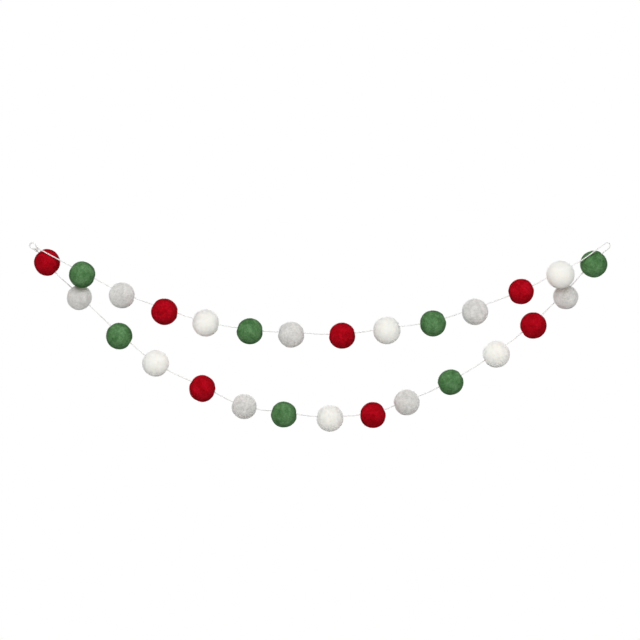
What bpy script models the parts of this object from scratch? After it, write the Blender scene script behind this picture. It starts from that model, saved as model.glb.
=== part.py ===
"""Felt ball garland.

Twenty-seven wool felt balls are threaded on one string. The string is tied in a small
loop at each end. Both loops hang at the left, and the middle of the string bends over
the right hang point, so that it hangs in two swags: a shallow one in front and a deeper
one close behind it. Metres, +Z up. +X runs along the span, -Y is the front, and the
origin is the left hang point, in the plane of the back swag.
"""
import math
from collections import namedtuple

import bmesh
import bpy
from mathutils import Vector

MM = 0.001

# Hang points, level with each other
SPAN = 542 * MM
FRONT_SWAG_DEPTH = -14 * MM      # the front swag's balls just clear the back swag's
BACK_SWAG_DEPTH = 0.0

# String
STRING_ACROSS = 1.2 * MM
STRING_BEVEL = 2                 # eight sides
BEND_RADIUS = 2.7 * MM           # the string's middle line round either hang point
GAP = 0.3 * MM                   # left between solids that touch in the real garland

# Tied ends
FRONT_LOOP_DEPTH = -10 * MM
KNOT_DISTANCE = 5.4 * MM         # from the hang point to the middle of the knot
KNOT_ACROSS = 3.2 * MM
KNOT_LONG = 3.6 * MM
KNOT_SIDES = 12
KNOT_RINGS = 8
LOOP_LEG_OFFSET = 0.85 * MM      # each leg of the loop from the knot's middle line
LOOP_OPEN_ANGLE = 110            # degrees of the ring on each side of its top
LOOP_POINTS = 7

# Felt balls
BALL_SIDES = 20
BALL_ARC_STEPS = 9
BORE_ACROSS = 1.9 * MM
BORE_LEAD = 0.7 * MM             # the string stays straight this far past each mouth

# Where the front string lies on the faces of the two end balls
LEFT_REST = Vector((26.5, -12.0, -14.2)) * MM
RIGHT_REST = Vector((516.5, -11.6, -14.8)) * MM

# The bend over the right hang point: angles from +X in the XZ plane, and depths
BEND_START_ANGLE = 122
BEND_END_ANGLE = -36
BEND_START_DEPTH = -9.4 * MM
BEND_END_DEPTH = -6.0 * MM
BEND_POINTS = 6

CURVE_STEP_ANGLE = 16            # degrees that the string may turn between two points

# One row for each ball, in the order of the string: its diameter, its distance from the
# left hang point, its drop below it, and how far its needle hole passes above its middle,
# all in millimetres. The needle seldom meets the middle, and the heavy side hangs down.
Ball = namedtuple("Ball", "across right drop hole")

FRONT_SWAG = (
    Ball(25.0, 47.0, 27.5, 2.5),
    Ball(24.5, 84.5, 47.0, 3.0),
    Ball(25.5, 124.5, 62.5, 3.0),
    Ball(25.5, 163.5, 73.0, 1.5),
    Ball(25.0, 205.0, 81.0, 2.0),
    Ball(24.5, 244.0, 84.0, 2.0),
    Ball(25.0, 292.0, 85.0, 2.0),
    Ball(26.0, 334.0, 80.0, 2.0),
    Ball(25.0, 377.5, 73.5, 2.5),
    Ball(25.0, 417.0, 62.5, 3.5),
    Ball(24.5, 460.5, 43.5, 1.0),
    Ball(26.5, 497.5, 27.5, 3.0),
)
BACK_SWAG = (
    Ball(25.5, 529.5, 17.5, 2.0),
    Ball(23.5, 503.0, 48.5, 5.5),
    Ball(25.5, 472.5, 75.5, 3.0),
    Ball(25.5, 437.5, 102.5, 2.0),
    Ball(24.5, 394.5, 129.0, 1.5),
    Ball(24.5, 353.0, 148.0, 1.5),
    Ball(24.5, 321.0, 160.0, 3.0),
    Ball(25.5, 280.5, 163.0, 2.0),
    Ball(24.5, 237.0, 159.5, 2.0),
    Ball(23.5, 199.5, 152.0, 1.5),
    Ball(25.0, 160.0, 135.0, 2.0),
    Ball(25.5, 116.0, 111.0, 1.0),
    Ball(25.0, 81.5, 85.5, 3.0),
    Ball(24.0, 44.0, 49.0, 2.0),
    Ball(25.0, 13.5, 16.0, 0.0),
)

# A place that the string passes: a point in a ball's needle hole or a free point (then
# ball is None), the ball's centre, and the string's direction where it is known beforehand
Guide = namedtuple("Guide", "point ball centre direction")

# The four colours of felt repeat along the string, as red, green and blue from 0 to 255
FELT_ORDER = ("green", "grey", "red", "white")
FELT_COLOURS = {
    "green": (80, 122, 77),
    "grey": (205, 204, 200),
    "red": (160, 10, 25),
    "white": (239, 236, 229),
}
STRING_COLOUR = (236, 231, 220)
FELT_ROUGHNESS = 0.95
STRING_ROUGHNESS = 0.8


def start_collection(name):
    """Empty the scene and return a new collection for the garland's objects."""
    for old in list(bpy.data.objects):
        bpy.data.objects.remove(old, do_unlink=True)
    collection = bpy.data.collections.new(name)
    bpy.context.scene.collection.children.link(collection)
    return collection


def linear(channel):
    """A display colour value from 0 to 255 as scene-linear light."""
    value = channel / 255
    if value <= 0.04045:
        return value / 12.92
    return ((value + 0.055) / 1.055) ** 2.4


def fibre_material(name, colour, roughness):
    """A plain matt material for felt or string."""
    material = bpy.data.materials.new(name)
    material.use_nodes = True
    shader = material.node_tree.nodes["Principled BSDF"]
    shader.inputs["Base Color"].default_value = [linear(c) for c in colour] + [1.0]
    shader.inputs["Roughness"].default_value = roughness
    shader.inputs["Metallic"].default_value = 0.0
    return material


def free_guide(point, direction=None):
    return Guide(point, None, None, direction)


def threaded_swag(balls, depth):
    """A guide in the needle hole of every ball of a swag."""
    guides = []
    for ball in balls:
        centre = Vector((ball.right, 0.0, -ball.drop)) * MM + Vector((0.0, depth, 0.0))
        hole = centre + Vector((0.0, 0.0, ball.hole * MM))
        guides.append(Guide(hole, ball, centre, None))
    return guides


def bend_guides():
    """The string over the right hang point: a turn that moves steadily to the back."""
    sweep = math.radians(BEND_START_ANGLE - BEND_END_ANGLE)
    depth_change = BEND_END_DEPTH - BEND_START_DEPTH
    slope = depth_change / (sweep * BEND_RADIUS)
    guides = []
    for step in range(BEND_POINTS):
        along = step / (BEND_POINTS - 1)
        angle = math.radians(BEND_START_ANGLE) - along * sweep
        point = Vector((
            SPAN + BEND_RADIUS * math.cos(angle),
            BEND_START_DEPTH + along * depth_change,
            BEND_RADIUS * math.sin(angle),
        ))
        direction = Vector((math.sin(angle), slope, -math.cos(angle))).normalized()
        guides.append(free_guide(point, direction))
    return guides


def tied_end_pull(depth, towards):
    """The hang point of one tied end, and the direction in which its string pulls."""
    hang_point = Vector((0.0, depth, 0.0))
    return hang_point, (towards - hang_point).normalized()


def string_guides(front, back):
    """What the string passes in turn, from the front tied end to the back one."""
    string_start = KNOT_DISTANCE + KNOT_LONG / 2 + GAP
    front_hang, front_pull = tied_end_pull(FRONT_LOOP_DEPTH, LEFT_REST)
    back_hang, back_pull = tied_end_pull(BACK_SWAG_DEPTH, back[-1].point)
    last_ball = back[-1]._replace(direction=-back_pull)
    return [
        free_guide(front_hang + front_pull * string_start, front_pull),
        free_guide(LEFT_REST),
        *front,
        free_guide(RIGHT_REST),
        *bend_guides(),
        *back[:-1],
        last_ball,
        free_guide(back_hang + back_pull * string_start, -back_pull),
    ]


def guide_direction(guides, index):
    """The string's direction at a guide: its own, or midway between the ways in and out."""
    if guides[index].direction is not None:
        return guides[index].direction
    here = guides[index].point
    before = guides[max(index - 1, 0)].point
    after = guides[min(index + 1, len(guides) - 1)].point
    return ((here - before).normalized() + (after - here).normalized()).normalized()


def bore_middle(guide, direction):
    """The point of a ball's needle hole that is nearest to the ball's centre."""
    return guide.point + direction * (guide.centre - guide.point).dot(direction)


def string_route(guides):
    """The route's own points with their directions: straight through each needle hole.

    The last ball's knot lies against it, so the string ends there without a lead.
    """
    route = []
    for index, guide in enumerate(guides):
        direction = guide_direction(guides, index)
        if guide.ball is None:
            route.append((guide.point, direction))
            continue
        middle = bore_middle(guide, direction)
        reach = guide.ball.across * MM / 2 + BORE_LEAD
        route.append((middle - direction * reach, direction))
        if index < len(guides) - 2:
            route.append((middle + direction * reach, direction))
    return route


def smooth_points(route):
    """Read points from a smooth curve through the route, more of them where it turns."""
    points = [route[0][0]]
    for (start, leave), (end, arrive) in zip(route, route[1:]):
        chord = end - start
        turn = leave.angle(chord) + chord.angle(arrive)
        steps = max(1, math.ceil(math.degrees(turn) / CURVE_STEP_ANGLE))
        reach = chord.length
        for step in range(1, steps + 1):
            u = step / steps
            points.append(
                start * (2 * u**3 - 3 * u**2 + 1)
                + leave * reach * (u**3 - 2 * u**2 + u)
                + end * (3 * u**2 - 2 * u**3)
                + arrive * reach * (u**3 - u**2)
            )
    return points


def tube(name, points, across, collection, material):
    """A round tube along the points, closed at both ends."""
    curve = bpy.data.curves.new(name, "CURVE")
    curve.dimensions = "3D"
    curve.bevel_depth = across / 2
    curve.bevel_resolution = STRING_BEVEL
    curve.use_fill_caps = True
    spline = curve.splines.new("POLY")
    spline.points.add(len(points) - 1)
    for spline_point, point in zip(spline.points, points):
        spline_point.co = (*point, 1.0)
    curve.materials.append(material)
    thing = bpy.data.objects.new(name, curve)
    collection.objects.link(thing)
    return thing


def tube_to_mesh(thing, collection):
    """Turn a tube into a mesh object of the same name, its end caps welded on."""
    bpy.context.view_layer.update()
    evaluated = thing.evaluated_get(bpy.context.evaluated_depsgraph_get())
    mesh = bpy.data.meshes.new_from_object(evaluated)
    work = bmesh.new()
    work.from_mesh(mesh)
    bmesh.ops.remove_doubles(work, verts=work.verts, dist=0.01 * MM)
    work.to_mesh(mesh)
    work.free()
    name = thing.name
    placed = thing.matrix_world.copy()
    bpy.data.objects.remove(thing, do_unlink=True)
    solid = bpy.data.objects.new(name, mesh)
    solid.matrix_world = placed
    collection.objects.link(solid)
    return solid


def felt_ball(name, guide, direction, collection, material):
    """A ball with its needle hole along the string's direction.

    A ball is turned round the hole. Then its surface moves in or out, as seen from the
    middle of the hole, to where the felt lies about its own centre. The two mouths move
    along the hole only, so that they keep their width.
    """
    radius = guide.ball.across * MM / 2
    mouth = math.asin(BORE_ACROSS / 2 / radius)
    shape = bmesh.new()
    ring = []
    for step in range(BALL_ARC_STEPS + 1):
        angle = mouth + step / BALL_ARC_STEPS * (math.pi - 2 * mouth)
        ring.append(shape.verts.new((radius * math.sin(angle), 0.0, radius * math.cos(angle))))
    edges = [shape.edges.new(pair) for pair in zip(ring, ring[1:] + ring[:1])]
    bmesh.ops.spin(shape, geom=ring + edges, cent=(0, 0, 0), axis=(0, 0, 1),
                   angle=math.tau, steps=BALL_SIDES, use_merge=True)
    bmesh.ops.recalc_face_normals(shape, faces=shape.faces)

    middle = bore_middle(guide, direction)
    turned = direction.to_track_quat("Z", "Y")
    centre = turned.inverted() @ (guide.centre - middle)
    for vertex in shape.verts:
        if vertex.co.xy.length < BORE_ACROSS:
            aside = (vertex.co - centre).xy
            vertex.co.z = math.copysign(math.sqrt(radius**2 - aside.length_squared), vertex.co.z)
            continue
        outwards = vertex.co.normalized()
        along = outwards.dot(centre)
        across = centre.length_squared - along**2
        vertex.co = outwards * (along + math.sqrt(radius**2 - across))

    mesh = bpy.data.meshes.new(name)
    shape.to_mesh(mesh)
    shape.free()
    mesh.materials.append(material)
    mesh.shade_smooth()
    solid = bpy.data.objects.new(name, mesh)
    solid.location = middle
    solid.rotation_euler = turned.to_euler()
    collection.objects.link(solid)
    return solid


def loop_route(hang_point, pull):
    """A loop's own points: up one leg out of the knot, round the hang point and back."""
    sideways = pull.cross(Vector((0.0, 1.0, 0.0))).normalized()
    leg_end = hang_point + pull * KNOT_DISTANCE
    ring = []
    for step in range(LOOP_POINTS):
        angle = math.radians(LOOP_OPEN_ANGLE * (2 * step / (LOOP_POINTS - 1) - 1))
        ring.append(hang_point - pull * BEND_RADIUS * math.cos(angle)
                    + sideways * BEND_RADIUS * math.sin(angle))
    return string_route([
        free_guide(leg_end - sideways * LOOP_LEG_OFFSET, -pull),
        *(free_guide(point) for point in ring),
        free_guide(leg_end + sideways * LOOP_LEG_OFFSET, pull),
    ])


def tied_end(name, hang_point, pull, collection, cutters, material):
    """A small loop in the string's end, joined to the knot that closes it."""
    knot_shape = bmesh.new()
    bmesh.ops.create_uvsphere(knot_shape, u_segments=KNOT_SIDES, v_segments=KNOT_RINGS, radius=1.0)
    bmesh.ops.scale(knot_shape, verts=knot_shape.verts,
                    vec=(KNOT_ACROSS / 2, KNOT_ACROSS / 2, KNOT_LONG / 2))
    mesh = bpy.data.meshes.new(name)
    knot_shape.to_mesh(mesh)
    knot_shape.free()
    mesh.materials.append(material)
    mesh.shade_smooth()
    knot = bpy.data.objects.new(name, mesh)
    knot.location = hang_point + pull * KNOT_DISTANCE
    knot.rotation_euler = pull.to_track_quat("Z", "Y").to_euler()
    collection.objects.link(knot)

    loop = tube(name + "_ring", smooth_points(loop_route(hang_point, pull)), STRING_ACROSS,
                cutters, material)
    loop = tube_to_mesh(loop, cutters)
    loop.hide_render = True
    loop.display_type = "WIRE"
    joined = knot.modifiers.new("Loop", "BOOLEAN")
    joined.operation = "UNION"
    joined.object = loop
    return knot


def build_garland():
    collection = start_collection("felt_ball_garland")
    cutters = bpy.data.collections.new("garland_loop_shapes")
    bpy.context.scene.collection.children.link(cutters)

    string_material = fibre_material("string", STRING_COLOUR, STRING_ROUGHNESS)
    front = threaded_swag(FRONT_SWAG, FRONT_SWAG_DEPTH)
    back = threaded_swag(BACK_SWAG, BACK_SWAG_DEPTH)
    guides = string_guides(front, back)
    tube("string", smooth_points(string_route(guides)), STRING_ACROSS, collection, string_material)

    number = 0
    for index, guide in enumerate(guides):
        if guide.ball is None:
            continue
        felt = FELT_ORDER[number % len(FELT_ORDER)]
        number += 1
        name = f"ball_{number:02d}_{felt}"
        material = fibre_material(f"{felt}_felt_{number:02d}", FELT_COLOURS[felt], FELT_ROUGHNESS)
        felt_ball(name, guide, guide_direction(guides, index), collection, material)

    front_hang, front_pull = tied_end_pull(FRONT_LOOP_DEPTH, LEFT_REST)
    back_hang, back_pull = tied_end_pull(BACK_SWAG_DEPTH, back[-1].point)
    tied_end("end_loop_front", front_hang, front_pull, collection, cutters, string_material)
    tied_end("end_loop_back", back_hang, back_pull, collection, cutters, string_material)


build_garland()
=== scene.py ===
"""Felt ball garland: its looks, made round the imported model.

Twenty-seven wool felt balls are threaded on a twisted string that hangs in two swags. Each
ball is a turned shape with a needle hole, felted by a Geometry Nodes tree that gives it
lumps, dents and loose wool fibres. The string, its two end loops and their knots are swept
by a second tree, which lays three strands round each other. Metres, +Z up, -Y is the front.
"""
import math
import random
from collections import namedtuple

import bmesh
import bpy
from mathutils import Matrix, Vector


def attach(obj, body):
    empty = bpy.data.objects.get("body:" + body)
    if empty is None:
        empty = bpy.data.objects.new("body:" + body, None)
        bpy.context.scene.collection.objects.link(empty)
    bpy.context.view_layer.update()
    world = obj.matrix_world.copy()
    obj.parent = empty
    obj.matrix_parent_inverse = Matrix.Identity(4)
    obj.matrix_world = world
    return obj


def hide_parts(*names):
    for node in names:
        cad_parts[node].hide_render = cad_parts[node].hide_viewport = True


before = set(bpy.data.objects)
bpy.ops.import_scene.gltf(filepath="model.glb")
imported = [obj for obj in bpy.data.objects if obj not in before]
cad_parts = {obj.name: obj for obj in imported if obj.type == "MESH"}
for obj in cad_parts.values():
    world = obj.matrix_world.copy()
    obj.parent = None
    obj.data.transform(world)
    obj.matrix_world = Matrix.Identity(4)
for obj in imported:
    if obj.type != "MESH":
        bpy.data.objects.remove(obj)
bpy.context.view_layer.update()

MM = 0.001

# Camera: level with the middle of the garland, straight in front of it
VIEW_CENTRE = Vector((271.1, -7.0, -70.3)) * MM
VIEW_WIDTH = 603.5 * MM          # what the photo shows at the depth of the garland
CAMERA_LENS = 400.0
CAMERA_SENSOR = 36.0
CAMERA_NEAR = 0.05
CAMERA_FAR = 30.0

# Hang points and string, as in the part's source
SPAN = 542 * MM                  # between the two hang points
FRONT_SWAG_DEPTH = -14 * MM
BACK_SWAG_DEPTH = 0.0
STRING_ACROSS = 1.2 * MM
BEND_RADIUS = 2.7 * MM           # of the string's middle line round a hang point
BORE_LEAD = 0.7 * MM             # how far the string stays straight outside a needle hole
LEFT_REST = Vector((26.5, -12.0, -14.2)) * MM      # leads the string in front of ball 27
RIGHT_REST = Vector((516.5, -11.6, -14.8)) * MM    # leads it in front of ball 13
BEND_START_ANGLE = 122           # degrees round the right hang point, from the right, upwards
BEND_END_ANGLE = -36
BEND_START_DEPTH = -9.4 * MM
BEND_END_DEPTH = -6.0 * MM
BEND_POINTS = 6
CURVE_STEP_ANGLE = 4             # degrees that the string may turn between two points

# Tied ends
FRONT_LOOP_DEPTH = -10 * MM
KNOT_DISTANCE = 5.4 * MM
KNOT_LONG = 3.6 * MM
KNOT_STRING_ACROSS = 0.95 * MM   # the string is squeezed where the knot is pulled tight
KNOT_TURN_RADIUS = 0.42 * MM
KNOT_POINTS = 60
LOOP_LEG_OFFSET = 0.85 * MM
LOOP_OPEN_ANGLE = 110
LOOP_POINTS = 7
STRING_INTO_KNOT = 1.5 * MM      # how far the string runs on inside its knot

# Twist of the string
STRANDS = 3
STRAND_SIDES = 6
LAY_LENGTH = 4.2 * MM            # along the string for one turn of its strands
STRING_STEP = 0.42 * MM

# Felt balls
BALL_SIDES = 112
BALL_ARC_STEPS = 52
BORE_ACROSS = 1.3 * MM           # the felt grips the string
MOUTH_REACH = 0.6 * BORE_ACROSS  # what lies nearer to a hole's line belongs to its mouth
DIMPLE_DEPTH = 0.9 * MM
DIMPLE_REACH = 2.1 * MM
OUT_OF_ROUND = 0.014             # the most that a ball is squashed or stretched one way
LUMP_HEIGHT = 0.7 * MM
LUMP_SIZE = 9 * MM
DENT_HEIGHT = 0.22 * MM
DENT_SIZE = 3.0 * MM
FIRST_SEED = 40

# Loose fibres, their bent shape given for a fibre one unit long
FIBRES_PER_SQUARE_METRE = 260000
FIBRE_LENGTH = 1.05 * MM
FIBRE_ACROSS = 0.06 * MM
FIBRE_STEPS = 4
FIBRE_SIDES = 3
FIBRE_ROOT = (0.0, 0.0, -0.2)
FIBRE_BEND = (0.05, 0.0, 0.75)
FIBRE_TIP = (0.8, 0.15, 0.35)
FIBRE_TAPER = 0.6                # share of its width that a fibre loses towards its tip
FIBRE_LEAN = 0.9                 # most that a fibre leans each way, in radians
SHORTEST_FIBRE = 0.45            # as a share of the fibre length
LONGEST_FIBRE = 1.35
FIBRES_FROM = 0.6                # none where open_felt is less: 0 at a hole, 1 well away from it

# One row for each ball, in the order of the string: its diameter, its distance from the
# left hang point, its drop below it, and how far its needle hole passes above its middle,
# all in millimetres
Ball = namedtuple("Ball", "across right drop hole")

FRONT_SWAG = (
    Ball(25.0, 47.0, 27.5, 2.5),
    Ball(24.5, 84.5, 47.0, 3.0),
    Ball(25.5, 124.5, 62.5, 3.0),
    Ball(25.5, 163.5, 73.0, 1.5),
    Ball(25.0, 205.0, 81.0, 2.0),
    Ball(24.5, 244.0, 84.0, 2.0),
    Ball(25.0, 292.0, 85.0, 2.0),
    Ball(26.0, 334.0, 80.0, 2.0),
    Ball(25.0, 377.5, 73.5, 2.5),
    Ball(25.0, 417.0, 62.5, 3.5),
    Ball(24.5, 460.5, 43.5, 1.0),
    Ball(26.5, 497.5, 27.5, 3.0),
)
BACK_SWAG = (
    Ball(25.5, 529.5, 17.5, 2.0),
    Ball(23.5, 503.0, 48.5, 5.5),
    Ball(25.5, 472.5, 75.5, 3.0),
    Ball(25.5, 437.5, 102.5, 2.0),
    Ball(24.5, 394.5, 129.0, 1.5),
    Ball(24.5, 353.0, 148.0, 1.5),
    Ball(24.5, 321.0, 160.0, 3.0),
    Ball(25.5, 280.5, 163.0, 2.0),
    Ball(24.5, 237.0, 159.5, 2.0),
    Ball(23.5, 199.5, 152.0, 1.5),
    Ball(25.0, 160.0, 135.0, 2.0),
    Ball(25.5, 116.0, 111.0, 1.0),
    Ball(25.0, 81.5, 85.5, 3.0),
    Ball(24.0, 44.0, 49.0, 2.0),
    Ball(25.0, 13.5, 16.0, 0.0),
)

# A place that the string passes: a point in a ball's needle hole or a free point (then
# ball is None), the ball's centre, and the string's direction where it is known beforehand
Guide = namedtuple("Guide", "point ball centre direction")

# The four felts repeat along the string. Colours are red, green and blue from 0 to 255.
# Lumpy is the share of the full lump and dent height; streak and tuft are how much darker
# and lighter the fibres and their tufts are than the rest; relief is how deep they look;
# scatter is how far light spreads into the wool; sheen is its bright fuzz.
Felt = namedtuple("Felt", "dark middle light lumpy streak tuft relief scatter sheen")

FELT_ORDER = ("green", "grey", "red", "white")
FELTS = {
    "green": Felt((64, 106, 61), (82, 124, 78), (98, 139, 93), lumpy=1.0,
                  streak=0.24, tuft=0.18, relief=0.26, scatter=0.0, sheen=0.0),
    "grey": Felt((189, 188, 185), (202, 200, 196), (214, 212, 208), lumpy=1.0,
                 streak=0.13, tuft=0.13, relief=0.22, scatter=30.0 * MM, sheen=0.8),
    "red": Felt((151, 4, 16), (168, 7, 23), (182, 12, 31), lumpy=1.0,
                streak=0.38, tuft=0.20, relief=0.30, scatter=0.0, sheen=0.0),
    "white": Felt((253, 240, 223), (254, 242, 227), (255, 245, 232), lumpy=0.45,
                  streak=0.05, tuft=0.03, relief=0.10, scatter=30.0 * MM, sheen=1.0),
}
SWIRL_SIZE = 7 * MM              # patches where darker and lighter wool was laid together
SWIRL_STOPS = (0.30, 0.50, 0.70)
TUFT_SIZE = 1.6 * MM
TUFT_SPAN = (0.3, 0.7)
FIBRE_SIZE = 0.28 * MM
FIBRE_SPAN = (0.42, 0.78)
FIBRE_TURNS = ((0.3, 0.5, 0.2), (1.4, 0.2, 1.1))   # two layers of fibres, turned apart
FIBRE_STRETCH = 0.22             # width of the streaks as a share of their length
TANGLE_SIZE = 3.5 * MM           # of the bends in the fibres
TANGLE_STRENGTH = 5.0 * MM       # how far the bends carry them aside
PIT_SIZE = 1.1 * MM
FIBRE_RELIEF = 0.45              # relief of the fibres as a share of that of the pits
RELIEF_DEPTH = 0.55 * MM
FELT_ROUGHNESS = (0.87, 1.0)
FELT_GLOSS = 0.03
FELT_SHEEN_ROUGHNESS = 0.7
FELT_SCATTER_SHARES = (1.0, 0.95, 0.9)             # of red, green and blue light

# String finish
STRING_COLOURS = ((247, 246, 243), (253, 252, 250))
STRING_STOPS = (0.34, 0.6)
THREAD_FIBRE_SIZE = 0.16 * MM
THREAD_PATCH_SIZE = 2.5 * MM
THREAD_RELIEF = 0.6
THREAD_RELIEF_DEPTH = 0.06 * MM
STRING_ROUGHNESS = (0.7, 0.9)
STRING_GLOSS = 0.2
STRING_SHEEN = 0.2
STRING_SCATTER = 0.3
STRING_SCATTER_SHARES = (1.0, 1.0, 0.95)
STRING_SCATTER_REACH = 0.4 * MM

# Floor
FLOOR_DROP = 1.3
FLOOR_RADIUS = 1.75
FLOOR_SIDES = 96
FLOOR_CLEAR_RADIUS = 0.9         # the floor fades out from here to its rim
FLOOR_COLOUR = (0.84, 0.84, 0.83)
FLOOR_GRAIN_SIZE = 20 * MM
FLOOR_TONES = (0.98, 1.02)
FLOOR_ROUGHNESS = 0.9

# Light
BACKDROP_WHITE = 1.0
ROOM_LIGHT = 0.02
WHITE = (1.0, 1.0, 1.0, 1.0)
Lamp = namedtuple("Lamp", "name direction distance size power")
LAMPS = (
    Lamp("front_softbox", (0.0, -0.88, 0.48), 1.9, (2.2, 1.3), 49.0),
    Lamp("back_softbox", (0.0, 0.98, 0.2), 1.9, (1.6, 1.0), 41.0),
    Lamp("left_softbox", (-0.97, -0.1, -0.1), 1.9, (0.9, 0.9), 7.0),
    Lamp("right_softbox", (0.97, -0.1, -0.1), 1.9, (0.9, 0.9), 7.0),
)


# The string's route, worked out as in the part's source

def free_guide(point, direction=None):
    """A place that the string passes outside the balls."""
    return Guide(point, None, None, direction)


def threaded_swag(balls, depth):
    """A guide in the needle hole of every ball of a swag."""
    guides = []
    for ball in balls:
        centre = Vector((ball.right, 0.0, -ball.drop)) * MM + Vector((0.0, depth, 0.0))
        hole = centre + Vector((0.0, 0.0, ball.hole * MM))
        guides.append(Guide(hole, ball, centre, None))
    return guides


def bend_guides():
    """The string over the right hang point: a turn that moves steadily to the back."""
    sweep = math.radians(BEND_START_ANGLE - BEND_END_ANGLE)
    depth_change = BEND_END_DEPTH - BEND_START_DEPTH
    slope = depth_change / (sweep * BEND_RADIUS)
    guides = []
    for step in range(BEND_POINTS):
        along = step / (BEND_POINTS - 1)
        angle = math.radians(BEND_START_ANGLE) - along * sweep
        point = Vector((
            SPAN + BEND_RADIUS * math.cos(angle),
            BEND_START_DEPTH + along * depth_change,
            BEND_RADIUS * math.sin(angle),
        ))
        direction = Vector((math.sin(angle), slope, -math.cos(angle))).normalized()
        guides.append(free_guide(point, direction))
    return guides


def tied_end_pull(depth, towards):
    """The hang point of one tied end, and the direction in which its string pulls."""
    hang_point = Vector((0.0, depth, 0.0))
    return hang_point, (towards - hang_point).normalized()


def string_guides(front, back):
    """What the string passes in turn, from inside the front knot to inside the back one."""
    string_start = KNOT_DISTANCE + KNOT_LONG / 2 - STRING_INTO_KNOT
    front_hang, front_pull = tied_end_pull(FRONT_LOOP_DEPTH, LEFT_REST)
    back_hang, back_pull = tied_end_pull(BACK_SWAG_DEPTH, back[-1].point)
    last_ball = back[-1]._replace(direction=-back_pull)
    return [
        free_guide(front_hang + front_pull * string_start, front_pull),
        free_guide(LEFT_REST),
        *front,
        free_guide(RIGHT_REST),
        *bend_guides(),
        *back[:-1],
        last_ball,
        free_guide(back_hang + back_pull * string_start, -back_pull),
    ]


def guide_direction(guides, index):
    """The string's direction at a guide: its own, or midway between the ways in and out."""
    if guides[index].direction is not None:
        return guides[index].direction
    here = guides[index].point
    before = guides[max(index - 1, 0)].point
    after = guides[min(index + 1, len(guides) - 1)].point
    return ((here - before).normalized() + (after - here).normalized()).normalized()


def bore_middle(guide, direction):
    """The point of a ball's needle hole that is nearest to the ball's centre."""
    return guide.point + direction * (guide.centre - guide.point).dot(direction)


def string_route(guides):
    """The route's own points with their directions: straight through each needle hole."""
    route = []
    for index, guide in enumerate(guides):
        direction = guide_direction(guides, index)
        if guide.ball is None:
            route.append((guide.point, direction))
            continue
        middle = bore_middle(guide, direction)
        reach = guide.ball.across * MM / 2 + BORE_LEAD
        route.append((middle - direction * reach, direction))
        if index < len(guides) - 2:
            route.append((middle + direction * reach, direction))
    return route


def smooth_points(route):
    """Read points from a smooth curve through the route, more of them where it turns."""
    points = [route[0][0]]
    for (start, leave), (end, arrive) in zip(route, route[1:]):
        chord = end - start
        turn = leave.angle(chord) + chord.angle(arrive)
        steps = max(1, math.ceil(math.degrees(turn) / CURVE_STEP_ANGLE))
        reach = chord.length
        for step in range(1, steps + 1):
            u = step / steps
            points.append(
                start * (2 * u**3 - 3 * u**2 + 1)
                + leave * reach * (u**3 - 2 * u**2 + u)
                + end * (3 * u**2 - 2 * u**3)
                + arrive * reach * (u**3 - u**2)
            )
    return points


def loop_route(hang_point, pull):
    """A loop's own points: up one leg out of the knot, round the hang point and back."""
    sideways = pull.cross(Vector((0.0, 1.0, 0.0))).normalized()
    leg_end = hang_point + pull * KNOT_DISTANCE
    ring = []
    for step in range(LOOP_POINTS):
        angle = math.radians(LOOP_OPEN_ANGLE * (2 * step / (LOOP_POINTS - 1) - 1))
        ring.append(hang_point - pull * BEND_RADIUS * math.cos(angle)
                    + sideways * BEND_RADIUS * math.sin(angle))
    return string_route([
        free_guide(leg_end - sideways * LOOP_LEG_OFFSET, -pull),
        *(free_guide(point) for point in ring),
        free_guide(leg_end + sideways * LOOP_LEG_OFFSET, pull),
    ])


def knot_points(middle, pull):
    """The middle line of the string in a tight overhand knot, its three turns interlaced."""
    turned = pull.to_track_quat("Z", "Y").to_matrix()
    half_long = (KNOT_LONG - KNOT_STRING_ACROSS) / 2
    points = []
    for step in range(KNOT_POINTS):
        t = math.tau * step / KNOT_POINTS
        local = Vector((
            KNOT_TURN_RADIUS * (math.sin(t) + 2 * math.sin(2 * t)),
            KNOT_TURN_RADIUS * (math.cos(t) - 2 * math.cos(2 * t)),
            -half_long * math.sin(3 * t),
        ))
        points.append(middle + turned @ local)
    return points


# Node helpers

def add_node(tree, kind, inputs=None, **settings):
    """Add a node, set its own settings, and set or link its inputs by name or number."""
    made = tree.nodes.new(kind)
    for setting, value in settings.items():
        setattr(made, setting, value)
    for key, value in (inputs or {}).items():
        socket = made.inputs[key]
        if isinstance(value, bpy.types.NodeSocket):
            tree.links.new(value, socket)
        else:
            socket.default_value = value
    return made


def calculate(tree, operation, first, second):
    """A Math node's result."""
    return add_node(tree, "ShaderNodeMath", {0: first, 1: second}, operation=operation).outputs[0]


def new_geometry_tree(name, sockets):
    """A Geometry Nodes tree with the named inputs; returns it and its input node."""
    tree = bpy.data.node_groups.new(name, "GeometryNodeTree")
    tree.interface.new_socket("Geometry", in_out="INPUT", socket_type="NodeSocketGeometry")
    for label, kind in sockets:
        tree.interface.new_socket(label, in_out="INPUT", socket_type="NodeSocket" + kind)
    tree.interface.new_socket("Geometry", in_out="OUTPUT", socket_type="NodeSocketGeometry")
    return tree, tree.nodes.new("NodeGroupInput").outputs


def end_tree(tree, geometry, material):
    """Realize what was instanced, give it its material, and put it out."""
    realized = add_node(tree, "GeometryNodeRealizeInstances", {"Geometry": geometry})
    dressed = add_node(tree, "GeometryNodeSetMaterial",
                       {"Geometry": realized.outputs[0], "Material": material})
    add_node(tree, "NodeGroupOutput", {0: dressed.outputs[0]})


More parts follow.
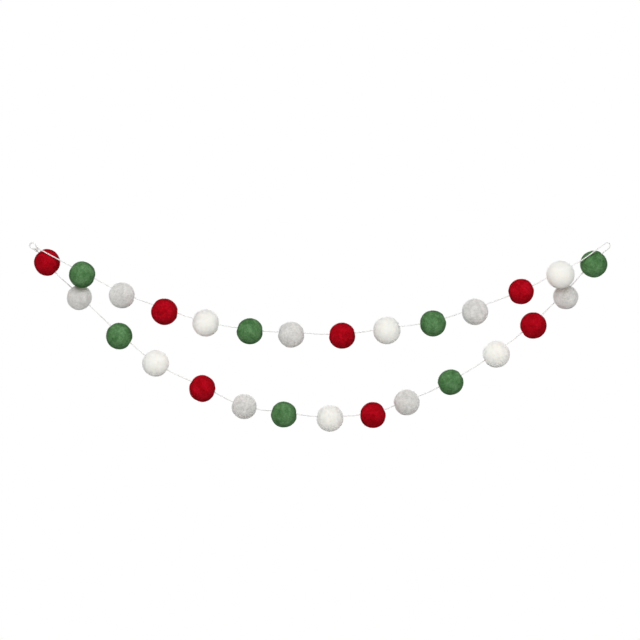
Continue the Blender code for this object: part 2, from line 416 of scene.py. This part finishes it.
def run_tree(name, data, tree, values):
    """Run the tree on the data, and return a plain mesh object with the result."""
    source = bpy.data.objects.new(name + "_source", data)
    bpy.context.scene.collection.objects.link(source)
    modifier = source.modifiers.new(tree.name, "NODES")
    modifier.node_group = tree
    identifiers = {item.name: item.identifier for item in tree.interface.items_tree
                   if item.in_out == "INPUT"}
    for label, value in values.items():
        modifier[identifiers[label]] = value
    bpy.context.view_layer.update()
    graph = bpy.context.evaluated_depsgraph_get()
    mesh = bpy.data.meshes.new_from_object(source.evaluated_get(graph), depsgraph=graph)
    bpy.data.objects.remove(source, do_unlink=True)
    mesh.name = name
    piece = bpy.data.objects.new(name, mesh)
    bpy.context.scene.collection.objects.link(piece)
    return piece


# Trees

def string_tree():
    """Lay strands round each other along a curve."""
    tree, given = new_geometry_tree("Twisted string", (
        ("Strand across", "Float"),
        ("Strand offset", "Float"),
        ("Lay length", "Float"),
        ("Step", "Float"),
        ("String", "Material"),
    ))
    stepped = add_node(tree, "GeometryNodeResampleCurve",
                       {"Curve": given["Geometry"], "Length": given["Step"]}, mode="LENGTH")
    along = add_node(tree, "GeometryNodeSplineParameter").outputs["Length"]
    turns = calculate(tree, "DIVIDE", along, given["Lay length"])
    tilted = add_node(tree, "GeometryNodeSetCurveTilt", {
        "Curve": stepped.outputs[0],
        "Tilt": calculate(tree, "MULTIPLY", turns, math.tau),
    })
    strand = add_node(tree, "GeometryNodeCurvePrimitiveCircle", {
        "Resolution": STRAND_SIDES,
        "Radius": calculate(tree, "MULTIPLY", given["Strand across"], 0.5),
    })
    places = add_node(tree, "GeometryNodeCurvePrimitiveCircle",
                      {"Resolution": STRANDS, "Radius": given["Strand offset"]})
    strands = add_node(tree, "GeometryNodeInstanceOnPoints",
                       {"Points": places.outputs["Curve"], "Instance": strand.outputs["Curve"]})
    section = add_node(tree, "GeometryNodeRealizeInstances", {"Geometry": strands.outputs[0]})
    swept = add_node(tree, "GeometryNodeCurveToMesh", {
        "Curve": tilted.outputs[0],
        "Profile Curve": section.outputs[0],
        "Fill Caps": True,
    })
    smooth = add_node(tree, "GeometryNodeSetShadeSmooth", {"Geometry": swept.outputs[0]})
    end_tree(tree, smooth.outputs[0], given["String"])
    return tree


def noise_height(tree, position, size, height, detail):
    """Noise about nought with features of that size and height."""
    noise = add_node(tree, "ShaderNodeTexNoise", {
        "Vector": position,
        "Scale": calculate(tree, "DIVIDE", 1.0, size),
        "Detail": detail,
    })
    level = calculate(tree, "SUBTRACT", noise.outputs[0], 0.5)
    return calculate(tree, "MULTIPLY", level, height)


def felting_tree():
    """Felt a turned ball: lumps, dents, and loose fibres that stand and curl on it."""
    tree, given = new_geometry_tree("Felting", (
        ("Lump size", "Float"),
        ("Lump height", "Float"),
        ("Dent size", "Float"),
        ("Dent height", "Float"),
        ("Fibre density", "Float"),
        ("Fibre length", "Float"),
        ("Fibre across", "Float"),
        ("Seed", "Int"),
        ("Felt", "Material"),
    ))
    position = add_node(tree, "GeometryNodeInputPosition").outputs[0]
    normal = add_node(tree, "GeometryNodeInputNormal").outputs[0]
    open_felt = add_node(tree, "GeometryNodeInputNamedAttribute", {"Name": "open_felt"},
                         data_type="FLOAT").outputs["Attribute"]
    lumps = noise_height(tree, position, given["Lump size"], given["Lump height"], detail=0.0)
    dents = noise_height(tree, position, given["Dent size"], given["Dent height"], detail=1.5)
    height = calculate(tree, "ADD", lumps, dents)
    raised = add_node(tree, "ShaderNodeVectorMath", {
        0: normal,
        "Scale": calculate(tree, "MULTIPLY", height, open_felt),
    }, operation="SCALE")
    surface = add_node(tree, "GeometryNodeSetPosition",
                       {"Geometry": given["Geometry"], "Offset": raised.outputs[0]})
    points = add_node(tree, "GeometryNodeDistributePointsOnFaces", {
        "Mesh": surface.outputs[0],
        "Selection": calculate(tree, "GREATER_THAN", open_felt, FIBRES_FROM),
        "Density": given["Fibre density"],
        "Seed": given["Seed"],
    })
    fibre = add_node(tree, "GeometryNodeCurveQuadraticBezier", {
        "Resolution": FIBRE_STEPS,
        "Start": FIBRE_ROOT,
        "Middle": FIBRE_BEND,
        "End": FIBRE_TIP,
    })
    lean = add_node(tree, "FunctionNodeRandomValue", {
        0: (-FIBRE_LEAN, -FIBRE_LEAN, 0.0),
        1: (FIBRE_LEAN, FIBRE_LEAN, math.tau),
        "Seed": given["Seed"],
    }, data_type="FLOAT_VECTOR")
    lean_turn = add_node(tree, "FunctionNodeEulerToRotation", {0: lean.outputs[0]})
    turned = add_node(tree, "FunctionNodeRotateRotation", {
        "Rotation": points.outputs["Rotation"],
        "Rotate By": lean_turn.outputs[0],
    }, rotation_space="LOCAL")
    share = add_node(tree, "FunctionNodeRandomValue",
                     {2: SHORTEST_FIBRE, 3: LONGEST_FIBRE, "Seed": given["Seed"]},
                     data_type="FLOAT")
    placed = add_node(tree, "GeometryNodeInstanceOnPoints", {
        "Points": points.outputs["Points"],
        "Instance": fibre.outputs[0],
        "Rotation": turned.outputs[0],
        "Scale": calculate(tree, "MULTIPLY", share.outputs[1], given["Fibre length"]),
    })
    lines = add_node(tree, "GeometryNodeRealizeInstances", {"Geometry": placed.outputs[0]})
    section = add_node(tree, "GeometryNodeCurvePrimitiveCircle", {
        "Resolution": FIBRE_SIDES,
        "Radius": calculate(tree, "MULTIPLY", given["Fibre across"], 0.5),
    })
    along = add_node(tree, "GeometryNodeSplineParameter").outputs["Factor"]
    taper = add_node(tree, "ShaderNodeMath", {0: along, 1: -FIBRE_TAPER, 2: 1.0},
                     operation="MULTIPLY_ADD")
    fibres = add_node(tree, "GeometryNodeCurveToMesh", {
        "Curve": lines.outputs[0],
        "Profile Curve": section.outputs[0],
        "Scale": taper.outputs[0],
        "Fill Caps": True,
    })
    together = add_node(tree, "GeometryNodeJoinGeometry")
    tree.links.new(fibres.outputs[0], together.inputs[0])
    tree.links.new(surface.outputs[0], together.inputs[0])
    smooth = add_node(tree, "GeometryNodeSetShadeSmooth", {"Geometry": together.outputs[0]})
    end_tree(tree, smooth.outputs[0], given["Felt"])
    return tree


# Materials

def linear(channel):
    """A display colour value from 0 to 255 as scene-linear light."""
    value = channel / 255
    if value <= 0.04045:
        return value / 12.92
    return ((value + 0.055) / 1.055) ** 2.4


def colour_value(colour):
    """A display colour as a node's colour value."""
    return (*(linear(channel) for channel in colour), 1.0)


def new_material(name):
    """A node material with a Principled BSDF; returns it, its tree and the shader."""
    material = bpy.data.materials.new(name)
    material.use_nodes = True
    return material, material.node_tree, material.node_tree.nodes["Principled BSDF"]


def noise_pattern(tree, vector, size, detail, distortion=0.0):
    """A noise pattern from 0 to 1 with features of that size in metres."""
    return add_node(tree, "ShaderNodeTexNoise", {
        "Vector": vector,
        "Scale": 1 / size,
        "Detail": detail,
        "Distortion": distortion,
    }).outputs[0]


def set_roughness(tree, shader, pattern, span):
    """Let the shader's roughness follow the pattern from one end of the span to the other."""
    rough = add_node(tree, "ShaderNodeMapRange", {
        "Value": pattern,
        "To Min": span[0],
        "To Max": span[1],
    }).outputs[0]
    tree.links.new(rough, shader.inputs["Roughness"])


def set_relief(tree, shader, height, strength, depth):
    """Give the shader a fine relief that follows the height."""
    bump = add_node(tree, "ShaderNodeBump", {
        "Strength": strength,
        "Distance": depth,
        "Height": height,
    })
    tree.links.new(bump.outputs[0], shader.inputs["Normal"])


def set_values(shader, values):
    """Set the shader's own sockets by name."""
    for label, value in values.items():
        shader.inputs[label].default_value = value


def colour_ramp(tree, factor, stops):
    """A colour ramp through the stops, each a place from 0 to 1 and a display colour."""
    stops = list(stops)
    ramp = add_node(tree, "ShaderNodeValToRGB", {"Fac": factor})
    elements = ramp.color_ramp.elements
    while len(elements) < len(stops):
        elements.new(0.5)
    for element, (place, colour) in zip(elements, stops):
        element.position = place
        element.color = colour_value(colour)
    return ramp.outputs[0]


def tangled_fibres(tree, position, turn):
    """Fine streaks that bend this way and that, like wool fibres felted together."""
    ways = add_node(tree, "ShaderNodeTexNoise",
                    {"Vector": position, "Scale": 1 / TANGLE_SIZE, "Detail": 1.0}).outputs["Color"]
    shift = add_node(tree, "ShaderNodeVectorMath", {0: ways, "Scale": TANGLE_STRENGTH},
                     operation="SCALE").outputs[0]
    bent = add_node(tree, "ShaderNodeVectorMath", {0: position, 1: shift},
                    operation="ADD").outputs[0]
    stretched = add_node(tree, "ShaderNodeMapping", {
        "Vector": bent,
        "Rotation": turn,
        "Scale": (FIBRE_STRETCH, 1.0, 1.0),
    }).outputs[0]
    return noise_pattern(tree, stretched, FIBRE_SIZE, 1.0)


def brightness(tree, pattern, span, change):
    """A factor that darkens and lightens by that change over the span of the pattern."""
    return add_node(tree, "ShaderNodeMapRange", {
        "Value": pattern,
        "From Min": span[0],
        "From Max": span[1],
        "To Min": 1.0 - change,
        "To Max": 1.0 + change,
    }).outputs[0]


def felt_material(name, felt):
    """Matted wool: swirls of darker and lighter wool, tufts, tangled fibres, a soft sheen."""
    material, tree, shader = new_material(name)
    position = add_node(tree, "ShaderNodeTexCoord").outputs["Object"]
    swirls = noise_pattern(tree, position, SWIRL_SIZE, 2.5, distortion=0.6)
    wool = colour_ramp(tree, swirls, zip(SWIRL_STOPS, (felt.dark, felt.middle, felt.light)))
    layers = [tangled_fibres(tree, position, turn) for turn in FIBRE_TURNS]
    fibres = calculate(tree, "MAXIMUM", *layers)
    tufts = noise_pattern(tree, position, TUFT_SIZE, 1.0, distortion=0.4)
    shade = calculate(tree, "MULTIPLY",
                      brightness(tree, fibres, FIBRE_SPAN, felt.streak),
                      brightness(tree, tufts, TUFT_SPAN, felt.tuft))
    shaded = add_node(tree, "ShaderNodeVectorMath", {0: wool, "Scale": shade},
                      operation="SCALE").outputs[0]
    tree.links.new(shaded, shader.inputs["Base Color"])
    set_roughness(tree, shader, fibres, FELT_ROUGHNESS)
    pits = noise_pattern(tree, position, PIT_SIZE, 2.0)
    raised_fibres = calculate(tree, "MULTIPLY", fibres, FIBRE_RELIEF)
    height = calculate(tree, "ADD", raised_fibres, pits)
    set_relief(tree, shader, height, felt.relief, RELIEF_DEPTH)
    set_values(shader, {
        "Specular IOR Level": FELT_GLOSS,
        "Sheen Weight": felt.sheen,
        "Sheen Roughness": FELT_SHEEN_ROUGHNESS,
        "Subsurface Weight": 1.0 if felt.scatter else 0.0,
        "Subsurface Radius": FELT_SCATTER_SHARES,
        "Subsurface Scale": felt.scatter,
    })
    return material


def string_material():
    """Twisted off-white thread: fine fibres, and patches of a slightly darker white."""
    material, tree, shader = new_material("twisted_string")
    position = add_node(tree, "ShaderNodeTexCoord").outputs["Object"]
    fibres = noise_pattern(tree, position, THREAD_FIBRE_SIZE, 2.0, distortion=0.8)
    patches = noise_pattern(tree, position, THREAD_PATCH_SIZE, 2.0)
    mixed = calculate(tree, "ADD", calculate(tree, "MULTIPLY", fibres, 0.5),
                      calculate(tree, "MULTIPLY", patches, 0.5))
    thread = colour_ramp(tree, mixed, zip(STRING_STOPS, STRING_COLOURS))
    tree.links.new(thread, shader.inputs["Base Color"])
    set_roughness(tree, shader, fibres, STRING_ROUGHNESS)
    set_relief(tree, shader, fibres, THREAD_RELIEF, THREAD_RELIEF_DEPTH)
    set_values(shader, {
        "Specular IOR Level": STRING_GLOSS,
        "Sheen Weight": STRING_SHEEN,
        "Subsurface Weight": STRING_SCATTER,
        "Subsurface Radius": STRING_SCATTER_SHARES,
        "Subsurface Scale": STRING_SCATTER_REACH,
    })
    return material


def floor_material():
    """A pale matt floor that fades out towards its rim."""
    material, tree, shader = new_material("pale_floor")
    position = add_node(tree, "ShaderNodeTexCoord").outputs["Object"]
    grain = noise_pattern(tree, position, FLOOR_GRAIN_SIZE, 3.0)
    tone = add_node(tree, "ShaderNodeMapRange", {
        "Value": grain,
        "To Min": FLOOR_TONES[0],
        "To Max": FLOOR_TONES[1],
    }).outputs[0]
    pale = add_node(tree, "ShaderNodeVectorMath", {0: FLOOR_COLOUR, "Scale": tone},
                    operation="SCALE").outputs[0]
    tree.links.new(pale, shader.inputs["Base Color"])
    set_values(shader, {"Roughness": FLOOR_ROUGHNESS})
    middle = add_node(tree, "ShaderNodeVectorMath",
                      {0: position, 1: (SPAN / 2, 0.0, -FLOOR_DROP)},
                      operation="DISTANCE").outputs["Value"]
    fade = add_node(tree, "ShaderNodeMapRange", {
        "Value": middle,
        "From Min": FLOOR_CLEAR_RADIUS,
        "From Max": FLOOR_RADIUS,
    }, interpolation_type="SMOOTHSTEP").outputs[0]
    clear = add_node(tree, "ShaderNodeBsdfTransparent")
    mixed = add_node(tree, "ShaderNodeMixShader",
                     {0: fade, 1: shader.outputs[0], 2: clear.outputs[0]})
    tree.links.new(mixed.outputs[0], tree.nodes["Material Output"].inputs["Surface"])
    return material


# Pieces

def poly_curve(name, lines):
    """A curve with one straight-segment spline for each line of points."""
    curve = bpy.data.curves.new(name, "CURVE")
    curve.dimensions = "3D"
    curve.twist_mode = "MINIMUM"
    for points, closed in lines:
        spline = curve.splines.new("POLY")
        spline.points.add(len(points) - 1)
        for spline_point, point in zip(spline.points, points):
            spline_point.co = (*point, 1.0)
        spline.use_cyclic_u = closed
    return curve


def twist(name, lines, across, tree, material):
    """Sweep the strands of a string of that diameter along the lines."""
    touching = 1 / (1 + 1 / math.sin(math.pi / STRANDS))
    strand_across = across * touching
    return run_tree(name, poly_curve(name, lines), tree, {
        "Strand across": strand_across,
        "Strand offset": (across - strand_across) / 2,
        "Lay length": LAY_LENGTH * across / STRING_ACROSS,
        "Step": STRING_STEP,
        "String": material,
    })


def join_pieces(name, pieces):
    """Join the pieces' meshes into one piece."""
    joined = bmesh.new()
    for piece in pieces:
        joined.from_mesh(piece.data)
    mesh = bpy.data.meshes.new(name)
    joined.to_mesh(mesh)
    joined.free()
    mesh.materials.append(pieces[0].data.materials[0])
    for piece in pieces:
        bpy.data.objects.remove(piece, do_unlink=True)
    made = bpy.data.objects.new(name, mesh)
    bpy.context.scene.collection.objects.link(made)
    return made


def end_loop(name, hang_point, pull, tree, material):
    """A loop of string and the overhand knot that closes it."""
    ring = twist(name + "_ring", [(smooth_points(loop_route(hang_point, pull)), False)],
                 STRING_ACROSS, tree, material)
    middle = hang_point + pull * KNOT_DISTANCE
    knot = twist(name + "_knot", [(knot_points(middle, pull), True)],
                 KNOT_STRING_ACROSS, tree, material)
    return join_pieces(name, [ring, knot])


def turned_ball(name, guide, direction, chance):
    """A ball turned round its needle hole, a little out of round, dimpled at the string.

    Its rings are joined in a set order, so that every run puts the fibres in the same places.
    Its surface moves in or out, as seen from the middle of the hole, to where the felt lies
    about its own centre. The two mouths move along the hole only.
    """
    radius = guide.ball.across * MM / 2
    mouth = math.asin(BORE_ACROSS / 2 / radius)
    work = bmesh.new()
    open_felt = work.verts.layers.float.new("open_felt")
    rings = []
    for side in range(BALL_SIDES):
        turn = Matrix.Rotation(side / BALL_SIDES * math.tau, 3, "Z")
        ring = []
        for step in range(BALL_ARC_STEPS + 1):
            angle = mouth + step / BALL_ARC_STEPS * (math.pi - 2 * mouth)
            point = Vector((radius * math.sin(angle), 0.0, radius * math.cos(angle)))
            ring.append(work.verts.new(turn @ point))
        rings.append(ring)
    for ring, beside in zip(rings, rings[1:] + rings[:1]):
        for step in range(BALL_ARC_STEPS + 1):
            work.faces.new((ring[step - 1], ring[step], beside[step], beside[step - 1]))

    middle = bore_middle(guide, direction)
    turned = direction.to_track_quat("Z", "Y")
    centre = turned.inverted() @ (guide.centre - middle)
    for vertex in work.verts:
        if vertex.co.xy.length < MOUTH_REACH:
            aside = (vertex.co - centre).xy
            vertex.co.z = math.copysign(math.sqrt(radius**2 - aside.length_squared), vertex.co.z)
        else:
            outwards = vertex.co.normalized()
            along = outwards.dot(centre)
            across = centre.length_squared - along**2
            vertex.co = outwards * (along + math.sqrt(radius**2 - across))
        dimple = math.exp(-vertex.co.xy.length_squared / DIMPLE_REACH**2)
        vertex.co.z -= math.copysign(DIMPLE_DEPTH * dimple, vertex.co.z)
        vertex[open_felt] = 1.0 - dimple

    squash = Matrix.Diagonal([1 + chance.uniform(-OUT_OF_ROUND, OUT_OF_ROUND) for _ in range(3)])
    place = (Matrix.Translation(guide.centre) @ squash.to_4x4()
             @ Matrix.Translation(middle - guide.centre) @ turned.to_matrix().to_4x4())
    bmesh.ops.transform(work, matrix=place, verts=work.verts)
    mesh = bpy.data.meshes.new(name)
    work.to_mesh(mesh)
    work.free()
    return mesh


def felt_ball(name, guide, direction, tree, material, lumpy, seed):
    """One finished ball of felt."""
    mesh = turned_ball(name, guide, direction, random.Random(seed))
    return run_tree(name, mesh, tree, {
        "Lump size": LUMP_SIZE,
        "Lump height": LUMP_HEIGHT * lumpy,
        "Dent size": DENT_SIZE,
        "Dent height": DENT_HEIGHT * lumpy,
        "Fibre density": FIBRES_PER_SQUARE_METRE,
        "Fibre length": FIBRE_LENGTH,
        "Fibre across": FIBRE_ACROSS,
        "Seed": seed,
        "Felt": material,
    })


# Camera, light and floor

def add_camera():
    """The photo's view: level, straight on, through a long lens."""
    camera = bpy.data.cameras.new("camera")
    camera.lens = CAMERA_LENS
    camera.sensor_width = CAMERA_SENSOR
    camera.clip_start = CAMERA_NEAR
    camera.clip_end = CAMERA_FAR
    thing = bpy.data.objects.new("camera", camera)
    distance = VIEW_WIDTH * CAMERA_LENS / CAMERA_SENSOR
    thing.location = VIEW_CENTRE - Vector((0.0, distance, 0.0))
    thing.rotation_euler = (math.radians(90), 0.0, 0.0)
    bpy.context.scene.collection.objects.link(thing)
    bpy.context.scene.camera = thing


def add_room():
    """A white room: plain white where it is seen, with little light of its own."""
    world = bpy.data.worlds.new("white_room")
    world.use_nodes = True
    tree = world.node_tree
    tree.nodes.clear()
    seen = add_node(tree, "ShaderNodeBackground", {"Color": WHITE, "Strength": BACKDROP_WHITE})
    light = add_node(tree, "ShaderNodeBackground", {"Color": WHITE, "Strength": ROOM_LIGHT})
    rays = add_node(tree, "ShaderNodeLightPath")
    mixed = add_node(tree, "ShaderNodeMixShader",
                     {0: rays.outputs["Is Camera Ray"], 1: light.outputs[0], 2: seen.outputs[0]})
    add_node(tree, "ShaderNodeOutputWorld", {"Surface": mixed.outputs[0]})
    bpy.context.scene.world = world
    bpy.context.scene.view_settings.view_transform = "Standard"


def add_lamps():
    """Soft boxes in front, behind and at both ends, all turned to the garland's middle."""
    for lamp in LAMPS:
        light = bpy.data.lights.new(lamp.name, "AREA")
        light.shape = "RECTANGLE"
        light.size, light.size_y = lamp.size
        light.energy = lamp.power
        thing = bpy.data.objects.new(lamp.name, light)
        direction = Vector(lamp.direction).normalized()
        thing.location = VIEW_CENTRE + direction * lamp.distance
        thing.rotation_euler = direction.to_track_quat("Z", "Y").to_euler()
        thing.visible_camera = False
        bpy.context.scene.collection.objects.link(thing)


def add_floor():
    """A plain pale floor, well below the garland."""
    work = bmesh.new()
    bmesh.ops.create_circle(work, cap_ends=True, segments=FLOOR_SIDES, radius=FLOOR_RADIUS)
    bmesh.ops.translate(work, verts=work.verts, vec=(SPAN / 2, 0.0, -FLOOR_DROP))
    mesh = bpy.data.meshes.new("floor")
    work.to_mesh(mesh)
    work.free()
    mesh.materials.append(floor_material())
    floor = bpy.data.objects.new("floor", mesh)
    bpy.context.scene.collection.objects.link(floor)


def dress(piece, node):
    """The piece rides with the garland and stands in for its CAD node, which is hidden."""
    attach(piece, "root")
    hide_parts(node)


def make_garland():
    """Make the string, its two tied loops and the balls, each in place of its CAD part."""
    strings = string_tree()
    thread = string_material()
    front = threaded_swag(FRONT_SWAG, FRONT_SWAG_DEPTH)
    back = threaded_swag(BACK_SWAG, BACK_SWAG_DEPTH)
    guides = string_guides(front, back)
    front_hang, front_pull = tied_end_pull(FRONT_LOOP_DEPTH, LEFT_REST)
    back_hang, back_pull = tied_end_pull(BACK_SWAG_DEPTH, back[-1].point)

    path = smooth_points(string_route(guides))
    string = twist("threaded_string", [(path, False)], STRING_ACROSS, strings, thread)
    dress(string, "string")
    front_loop = end_loop("front_end_loop", front_hang, front_pull, strings, thread)
    dress(front_loop, "end_loop_front")
    back_loop = end_loop("back_end_loop", back_hang, back_pull, strings, thread)
    dress(back_loop, "end_loop_back")

    felting = felting_tree()
    felts = {name: felt_material(f"{name}_wool_felt", felt) for name, felt in FELTS.items()}
    number = 0
    for index, guide in enumerate(guides):
        if guide.ball is None:
            continue
        felt = FELT_ORDER[number % len(FELT_ORDER)]
        number += 1
        ball = felt_ball(f"felt_ball_{number:02d}", guide, guide_direction(guides, index),
                         felting, felts[felt], FELTS[felt].lumpy, FIRST_SEED + number)
        dress(ball, f"ball_{number:02d}_{felt}")


add_camera()
add_room()
add_lamps()
add_floor()
make_garland()

bpy.context.view_layer.update()
